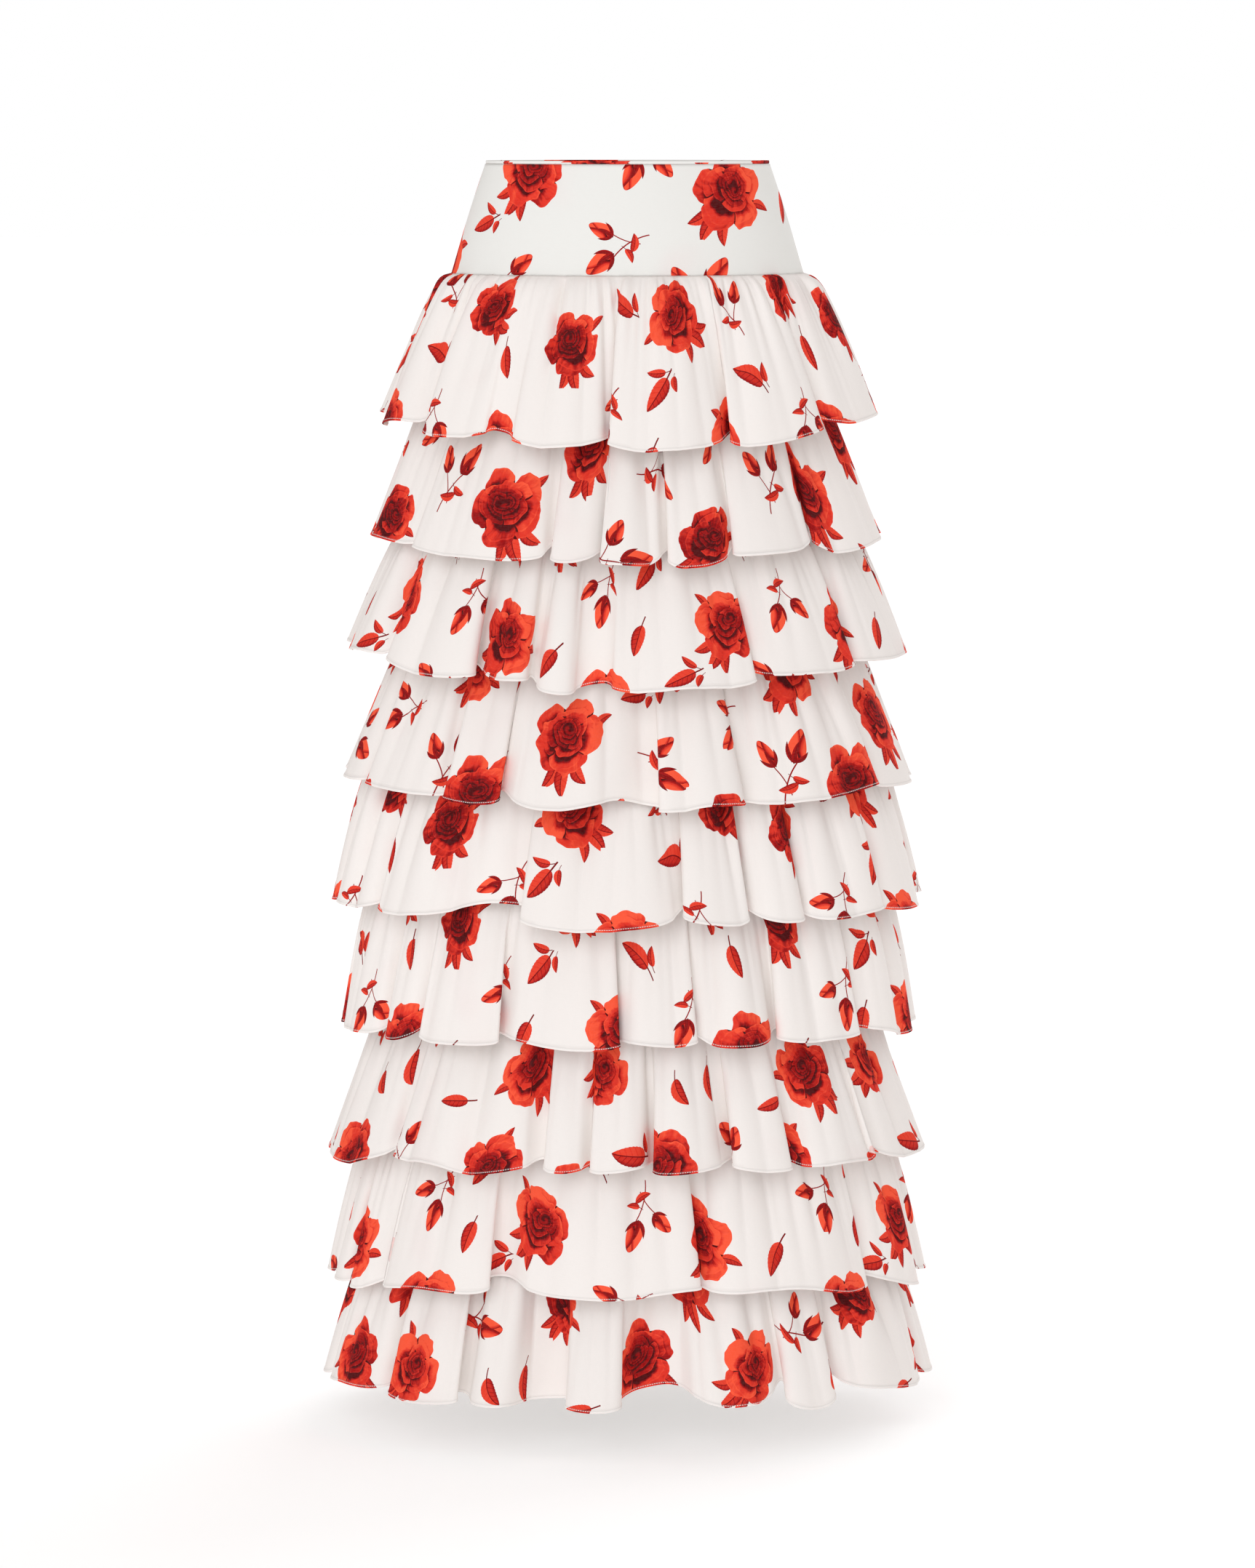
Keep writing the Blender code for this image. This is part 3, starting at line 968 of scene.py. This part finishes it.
def bud_motif(place, seed):
    """Two buds on a forked stem."""
    x, y = split(place)
    group = node_group("rosebud", {"Place": "Vector"}, MASK_AND_TONE, bud_formula)
    motif = (x * 0.0, seed * 0.0)
    for at_x, at_y, turn, size, bend in BUD_STEMS:
        near_x, near_y = moved(x, y, at_x, at_y, turn, size)
        near_y = near_y - bend * (1.0 - near_x * near_x)
        motif = laid_over(motif, ((abs(near_y) < STEM_WIDTH) * (abs(near_x) < 1.0), STEM_TONE))
    motif = leaves(motif, x, y, BUD_LEAVES)
    for row in BUD_HEADS:
        motif = laid_over(motif, placed(x.tree, group, joined(*moved(x, y, *row))))
    return motif


def leaf_motif(place, seed):
    """A leaf that has come down alone, or a sprig of two or three."""
    x, y = split(place)
    bend = 0.34 * maths("FRACT", seed * 2.3) - 0.06
    motif = leaf(x, y, bend, 0.36 + 0.14 * maths("FRACT", seed * 1.7))
    for at_x, at_y, turn, size, width, curl, least in LEAF_SPRIG:
        mask, tone = leaf(*moved(x, y, at_x, at_y, turn, size), curl, width)
        motif = laid_over(motif, (mask * (seed > least), tone))
    return motif


MOTIF_FORMULAS = {"rose": rose_motif, "bud": bud_motif, "leaf": leaf_motif}


# The cloth's finish


def weave_formula(cloth, thread, depth):
    """Plain weave: threads over and under each other, a slow slub, a hem's fold line darkened with painted
    shade, and stitches.
    """
    x, y = split(cloth)
    turn = float(2 * np.pi)
    over = maths("SINE", x * turn / thread) * maths("SINE", y * turn / thread)
    weft = noise(joined(x * SLUB_STRETCH, y), 1.0, SLUB_SCALE, 2.0)
    warp = noise(joined(x, y * SLUB_STRETCH), 2.0, SLUB_SCALE, 2.0)
    slub = weft * 0.6 + warp * 0.4
    soft = noise(cloth, 3.0, 26.0, 2.0)
    fold = stepped(abs(y - depth), 0.0, FOLD_LINE, 1.0, 0.0)
    stitch = stepped(abs(maths("FRACT", x / STITCH_PITCH) - 0.5), 0.24, 0.40, 1.0, 0.0)
    below = abs(y - depth * STITCH_PLACE)
    sewn = stepped(below, STITCH_WIDTH * 0.4, STITCH_WIDTH * 0.8, 1.0, 0.0) * stitch
    height = 0.16 * over + 0.9 * slub + 1.4 * soft - 1.6 * fold - 1.0 * sewn
    # The third output is painted shade: how far the hem's fold line is darkened
    return height, slub, fold * FOLD_SHADE, sewn


def ink_formula(tone, mask, fade, slub, ground, deep, dark, red, bright):
    """Ink of a tone on the ground, fainter on the reverse, and a little thin along the threads."""
    ink = colour_mix(stepped(tone, 0.06, 0.34), deep, dark)
    ink = colour_mix(stepped(tone, 0.32, 0.62), ink, red)
    ink = colour_mix(stepped(tone, 0.62, 1.00), ink, bright)
    taken = mask * (1.0 - fade) * stepped(slub, 0.30, 0.72, 1.0, 0.975)
    return (colour_mix(taken, ground, ink),)


def painted(name, values):
    """A new material with these plain values on its surface, and that surface."""
    made = bpy.data.materials.new(name)
    made.use_nodes = True
    surface = made.node_tree.nodes["Principled BSDF"]
    for title, value in values.items():
        surface.inputs[title].default_value = value
    return made, surface


def inked(tree, kind, colour, slub, reverse, design):
    """Print the motif of a kind on a ground colour, paler on the reverse."""
    seed = added(tree, "Attribute", attribute_name="motif_seed")[2]
    motif = node_group(kind + " motif", MOTIF_SOCKETS, MASK_AND_TONE, MOTIF_FORMULAS[kind])
    mask, tone = placed(tree, motif, surface_map(tree, "motif"), seed)
    inputs = dict.fromkeys(("Tone", "Mask", "Fade", "Slub"), "Float")
    inputs |= dict.fromkeys(("Ground", "Deep", "Dark", "Red", "Bright"), "Color")
    group = node_group("ink on cotton", inputs, {"Colour": "Color"}, ink_formula)
    inks = (design.deep_ink, design.dark_ink, design.red_ink, design.bright_ink)
    fade = design.reverse_fade if reverse else 0.0
    return placed(tree, group, tone, mask, fade, slub, colour, *[(*ink, 1.0) for ink in inks])[0]


def cotton(name, kind, reverse, ground, settings, hem):
    """A cotton with its ground, its painted show-through light, the motif of its kind, its weave and its
    hem's sewing with painted shade along the fold, made only once.
    """
    if name in bpy.data.materials:
        return bpy.data.materials[name]
    finish = settings.skirt_finish
    made, surface = painted(name, COTTON)
    tree = made.node_tree
    cloth = surface_map(tree, "cloth")
    inputs = {"Cloth": "Vector", "Thread": "Float", "Hem": "Float"}
    outputs = dict.fromkeys(("Height", "Slub", "Line", "Sewn"), "Float")
    weave = node_group("cotton weave", inputs, outputs, weave_formula)
    height, slub, line, sewn = placed(tree, weave, cloth, finish.thread, hem)
    # Painted light: patches where the print of the layer beneath seems to shine through the cloth
    tint = stepped(noise(cloth, 7.0, 11.0, 1.0), 0.54, 0.78, 0.0, SHOW_THROUGH_LIGHT)
    colour = colour_mix(tint, (*ground, 1.0), (*finish.show_through_light, 1.0))
    colour = colour_mix(stepped(slub, 0.35, 0.75, 0.0, SLUB_SHADE), colour, SLUB_GREY)
    if kind != "plain":
        colour = inked(tree, kind, colour, slub, reverse, settings.skirt_print)
    # Painted shade: the hem's fold line is darkened toward grey
    colour = colour_mix(line, colour, FOLD_SHADE_GREY)
    colour = colour_mix(sewn * STITCH_COVER, colour, (*finish.stitch_white, 1.0))
    feed(tree, surface.inputs["Base Color"], colour)
    feed(tree, surface.inputs["Roughness"], stepped(slub, 0.2, 0.8, *ROUGHNESS))
    relief = tree.nodes.new("ShaderNodeBump")
    for title, value in (("Strength", RELIEF), ("Distance", RELIEF_DEPTH), ("Height", height)):
        feed(tree, relief.inputs[title], value)
    tree.links.new(relief.outputs[0], surface.inputs["Normal"])
    return made


def printed_slots(piece, name, settings, hem):
    """Give a piece the printed cottons, face side first and then the paler reverse."""
    ground = getattr(settings.skirt_finish, name + "_white")
    for reverse in (False, True):
        for kind in KINDS:
            title = f"{name}_{kind}" + ("_reverse" if reverse else "")
            piece.data.materials.append(cotton(title, kind, reverse, ground, settings, hem))


# The pieces


class SKIRT_OT_waist_edge(bpy.types.Operator):
    """Make the narrow bound edge of the waist, a ring of cloth rolled right round"""

    bl_idname = "skirt.waist_edge"
    bl_label = "Waist Edge"

    def execute(self, context):
        settings = context.scene
        angle = np.linspace(-180, 180, EDGE_COLUMNS + 1)
        x, y = around(angle, *body_axes(0.0))
        flat = np.hypot(x, y)
        side = np.linspace(0, 2 * np.pi, EDGE_SIDES + 1)
        out = np.sign(np.cos(side)) * np.abs(np.cos(side)) ** EDGE_ROUNDING * EDGE_WALL / 2
        up = np.sign(np.sin(side)) * np.abs(np.sin(side)) ** EDGE_ROUNDING * EDGE_HEIGHT / 2
        points = np.empty((EDGE_SIDES + 1, EDGE_COLUMNS + 1, 3))
        points[..., 0] = x + x / flat * out[:, None]
        points[..., 1] = y + y / flat * out[:, None]
        points[..., 2] = up[:, None] - EDGE_HEIGHT / 2
        uv = np.stack([run_along(points, 1), run_along(points, 0)], axis=2)
        edge = cloth_sheet("bound_waist_edge", points, uv, closed=True)
        print_on(edge.data, settings.skirt_print, EDGE_PRINT)
        printed_slots(edge, "yoke", settings, NO_HEM)
        finished(edge, "waist_edge", "waist_edge")
        return {"FINISHED"}


class SKIRT_OT_yoke(bpy.types.Operator):
    """Make the fitted yoke, smooth over the hip and a little puckered where the gathers pull at its seam"""

    bl_idname = "skirt.yoke"
    bl_label = "Yoke"

    def execute(self, context):
        settings = context.scene
        table = np.array(BODY_LINE[:3])
        wide = np.polyfit(table[:, 0], table[:, 1], 2)
        deep = np.polyfit(table[:, 0], table[:, 2], 2)
        height = np.linspace(YOKE_BOTTOM, -EDGE_HEIGHT - SEAM_GAP, YOKE_ROWS + 1)[:, None]
        for side, turn, offset in PANELS:
            rng = np.random.default_rng(GATHER_SEED + turn)
            angle, share = panel_columns(turn, YOKE_COLUMNS)
            pucker = PUCKER_DEPTH * wandering(share, PUCKERS, rng)
            pucker = pucker * np.exp(-(height - YOKE_BOTTOM) / PUCKER_HEIGHT)
            drape = DRAPE_DEPTH * wandering(share, DRAPES, rng)
            drape = drape * np.sin(np.pi * (height / YOKE_BOTTOM)) ** 2
            x, y = around(angle, np.polyval(wide, height), np.polyval(deep, height), -pucker - drape)
            panel = panel_sheet("fitted_yoke_" + side, x, y, height, YOKE_RISE)
            print_on(panel.data, settings.skirt_print, offset)
            printed_slots(panel, "yoke", settings, NO_HEM)
            thickened(panel, YOKE_WALL, reverse_slots=len(KINDS))
            finished(panel, "yoke", "yoke_" + side)
        return {"FINISHED"}


class SKIRT_OT_foundation(bpy.types.Operator):
    """Make the plain foundation, which hangs a little rippled and carries the ruffles"""

    bl_idname = "skirt.foundation"
    bl_label = "Foundation"

    def execute(self, context):
        settings = context.scene
        height = np.linspace(BASE_BOTTOM, YOKE_BOTTOM - SEAM_GAP, BASE_ROWS + 1)[:, None]
        for side, turn, _ in PANELS:
            angle, share = panel_columns(turn, BASE_COLUMNS)
            ripple = RIPPLE_DEPTH * wandering(share, RIPPLES, np.random.default_rng(BASE_SEED + turn))
            x, y = around(angle, *body_axes(height), BASE_INSET + ripple)
            panel = panel_sheet("foundation_" + side, x, y, height)
            white = settings.skirt_finish.base_white
            plain = cotton("foundation_cotton", "plain", False, white, settings, BASE_HEM)
            panel.data.materials.append(plain)
            thickened(panel, BASE_WALL)
            finished(panel, "base", "base_" + side)
        return {"FINISHED"}


class SKIRT_OT_ruffles(bpy.types.Operator):
    """Make the nine ruffles, each one strip of cotton gathered at its seam and rolled at its hem"""

    bl_idname = "skirt.ruffles"
    bl_label = "Ruffles"

    def execute(self, context):
        settings = context.scene
        cloth = settings.skirt_cloth
        rng = np.random.default_rng(STRIP_SEED)
        tile = np.array(settings.skirt_print.repeat)
        for number in range(1, len(RUFFLES) + 1):
            points, length = ruffle_shape(number, cloth)
            up = run_along(points, 0)
            along = np.linspace(0, length, points.shape[1])
            uv = np.stack([np.broadcast_to(along, up.shape), up], axis=2)
            ruffle = cloth_sheet(f"gathered_ruffle_{number}", points, uv, closed=True)
            print_on(ruffle.data, settings.skirt_print, rng.uniform(0, 1, 2) * tile)
            printed_slots(ruffle, "ruffle", settings, cloth.hem_height)
            hem = cloth.hem_height * HEM_REACH
            thickened(ruffle, cloth.thickness, cloth.hem_thickness, hem, len(KINDS))
            finished(ruffle, "ruffle", f"ruffle_{number}")
        return {"FINISHED"}


class SKIRT_OT_stage(bpy.types.Operator):
    """Set the wide pale floor, the white surround, a large light before and behind, and the camera"""

    bl_idname = "skirt.stage"
    bl_label = "Stage"

    def execute(self, context):
        studio = context.scene.skirt_studio
        floor_place = (0.0, 0.0, CAD_BOX[0][2] - studio.floor_drop)
        bpy.ops.object.select_all(action="DESELECT")
        bpy.ops.mesh.primitive_circle_add(
            vertices=FLOOR_SIDES, radius=FLOOR_RADIUS, fill_type="NGON", location=floor_place
        )
        floor = context.active_object
        floor.name = "floor"
        paper, _ = painted("floor_paper", PAPER | {"Emission Strength": studio.floor_glow})
        floor.data.materials.append(paper)

        world = bpy.data.worlds.new("white_surround")
        world.use_nodes = True
        tree = world.node_tree
        back = tree.nodes["Background"]
        seen = added(tree, "LightPath")[0]
        tint = colour_mix(seen, (*studio.surround_tint, 1.0), (1.0, 1.0, 1.0, 1.0))
        feed(tree, back.inputs["Color"], tint)
        feed(tree, back.inputs["Strength"], seen * (1.0 - studio.surround) + studio.surround)
        context.scene.world = world

        for name, place in LAMPS:
            lamp = bpy.data.lights.new(name, "SUN")
            lamp.energy = getattr(studio, name)
            lamp.color = studio.key_tint
            lamp.angle = studio.softness
            holder = bpy.data.objects.new(name, lamp)
            context.scene.collection.objects.link(holder)
            holder.location = place
            holder.rotation_euler = Vector(place).to_track_quat("Z", "Y").to_euler()

        eye = bpy.data.cameras.new("camera")
        eye.lens = studio.camera_lens
        eye.sensor_width = SENSOR_WIDTH
        eye.clip_end = VIEW_END
        camera = bpy.data.objects.new("camera", eye)
        context.scene.collection.objects.link(camera)
        camera.location = studio.camera_place
        camera.rotation_euler = (np.pi / 2 - studio.camera_tilt, 0.0, 0.0)
        context.scene.camera = camera
        context.scene.view_settings.view_transform = "Standard"
        return {"FINISHED"}


class SKIRT_PT_panel(bpy.types.Panel):
    """Lists the skirt's operators and settings"""

    bl_idname = "SKIRT_PT_panel"
    bl_label = "Ruffled Skirt"
    bl_space_type = "VIEW_3D"
    bl_region_type = "UI"
    bl_category = "Skirt"

    def draw(self, context):
        """The operators, then every setting."""
        for operator in OPERATORS:
            self.layout.operator(operator.bl_idname)
        for name, group in SETTINGS.items():
            box = self.layout.box()
            for title in group.__annotations__:
                box.prop(getattr(context.scene, name), title)


SETTINGS = {
    "skirt_cloth": SkirtCloth,
    "skirt_print": SkirtPrint,
    "skirt_finish": SkirtFinish,
    "skirt_studio": SkirtStudio,
}
OPERATORS = (
    SKIRT_OT_yoke,
    SKIRT_OT_waist_edge,
    SKIRT_OT_foundation,
    SKIRT_OT_ruffles,
    SKIRT_OT_stage,
)


def register():
    """Register the settings, the operators and the panel."""
    for made in (*SETTINGS.values(), *OPERATORS, SKIRT_PT_panel):
        bpy.utils.register_class(made)
    for name, group in SETTINGS.items():
        setattr(bpy.types.Scene, name, PointerProperty(type=group))


def unregister():
    """Take away all that register added."""
    for name in SETTINGS:
        delattr(bpy.types.Scene, name)
    for made in reversed((*SETTINGS.values(), *OPERATORS, SKIRT_PT_panel)):
        bpy.utils.unregister_class(made)


def main():
    """Make the skirt and its stage."""
    register()
    bpy.ops.skirt.yoke()
    bpy.ops.skirt.waist_edge()
    bpy.ops.skirt.foundation()
    bpy.ops.skirt.ruffles()
    bpy.ops.skirt.stage()


if __name__ == "__main__":
    main()
